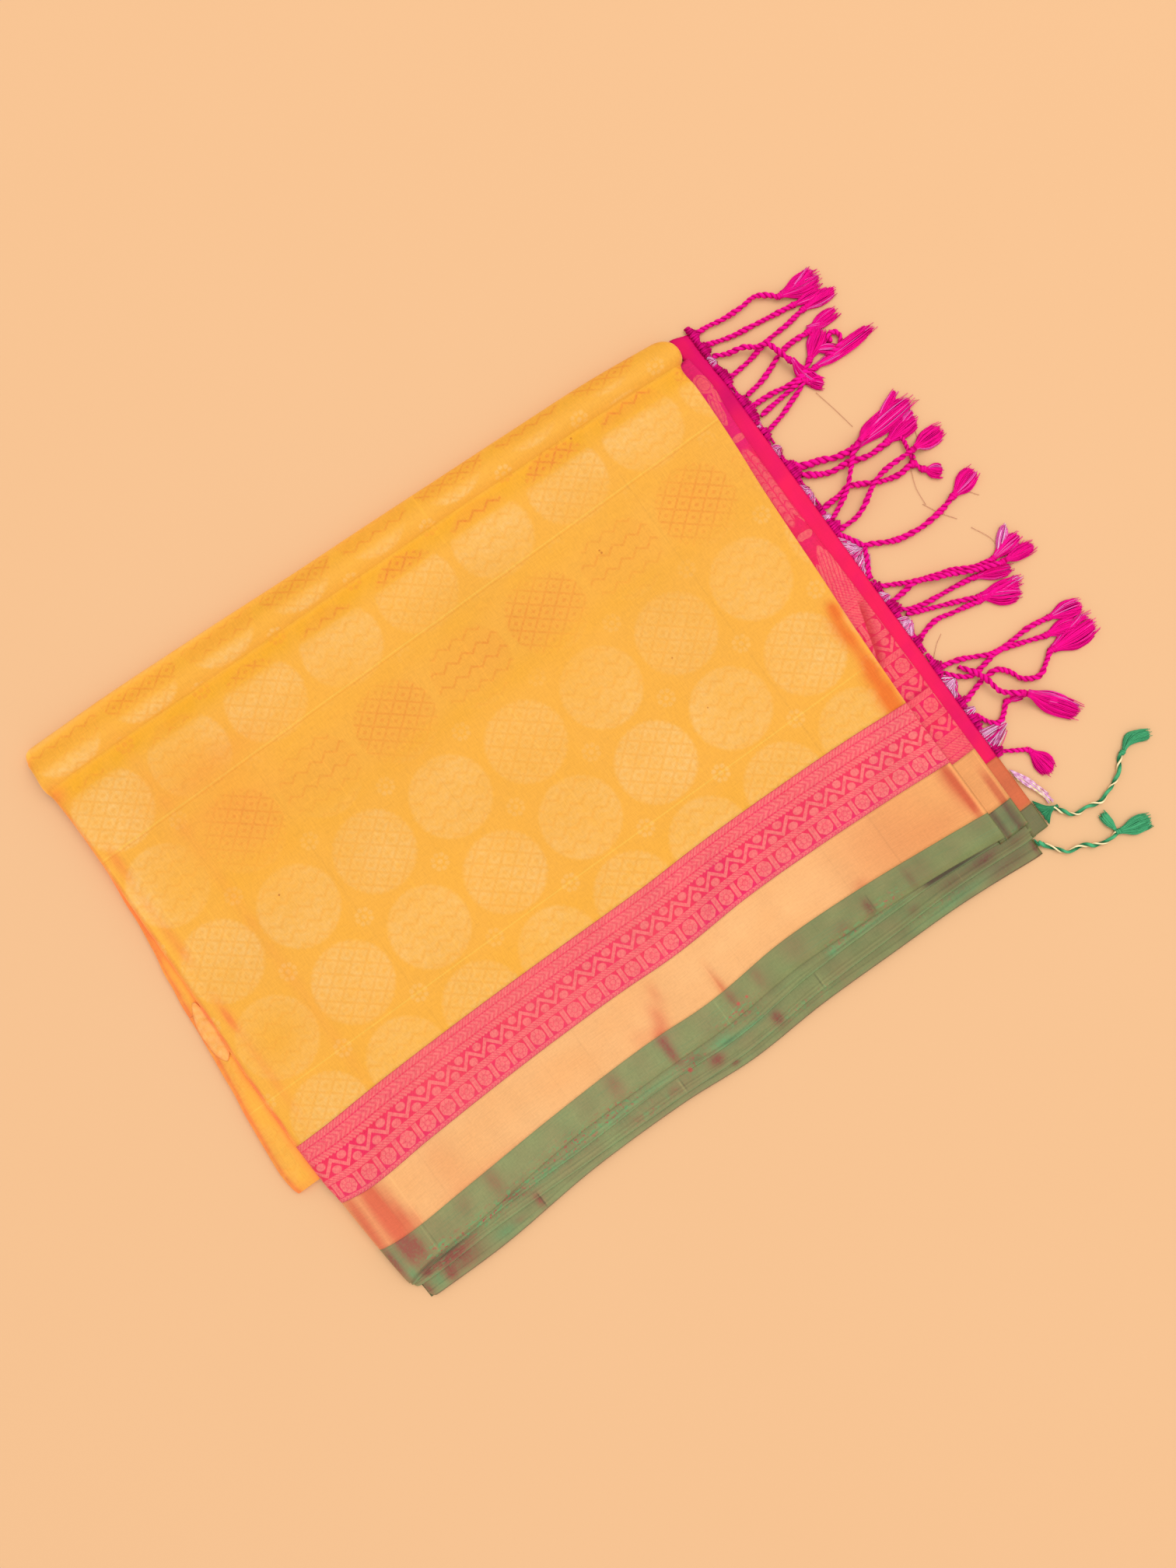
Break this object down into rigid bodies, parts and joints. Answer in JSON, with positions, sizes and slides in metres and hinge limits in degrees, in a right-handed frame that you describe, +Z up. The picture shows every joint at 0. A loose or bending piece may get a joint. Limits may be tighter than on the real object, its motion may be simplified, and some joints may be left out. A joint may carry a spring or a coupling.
{
  "type": "folded saree",
  "caption": "Silk saree folded into a flat rectangle, its long fold rolled over, with woven borders along the edge and a knotted cord fringe at the end.",
  "frame": {"origin": "on the flat underside, at the middle of the folded cloth without its fringe", "axes": "+X runs along the long folds to the fringed end, +Y runs across to the rolled fold, +Z is up out of the cloth's face"},
  "size_m": [0.9128, 0.667, 0.0245],
  "materials": {
    "yellow_silk": "soft sheen",
    "inner_silk": "soft sheen",
    "zari_border": "metallic thread sheen",
    "gold_border": "metallic thread sheen",
    "green_selvedge": "two-tone sheen",
    "crimson_silk": "soft sheen",
    "crimson_cord": "soft sheen",
    "green_cord": "soft sheen"
  },
  "bodies": {
    "root": {"inner_folds": "inner_silk", "body_top": "yellow_silk", "border_zari_top": "zari_border", "border_gold_top": "gold_border", "border_green_top": "green_selvedge", "left_fold_upper": "yellow_silk", "left_fold_lower": "yellow_silk", "selvedge_second": "green_selvedge", "selvedge_third": "green_selvedge", "selvedge_lowest": "green_selvedge", "pallu_panel": "zari_border", "pallu_zari": "zari_border", "pallu_gold": "gold_border", "pallu_green": "green_selvedge", "hem_crimson": "crimson_silk", "hem_gold": "gold_border", "hem_green": "green_selvedge", "fringe_top": "crimson_cord", "fringe_upper": "crimson_cord", "fringe_middle": "crimson_cord", "fringe_lower": "crimson_cord", "fringe_green": "green_cord", "fringe_green_low": "green_cord"}
  },
  "joints": []
}
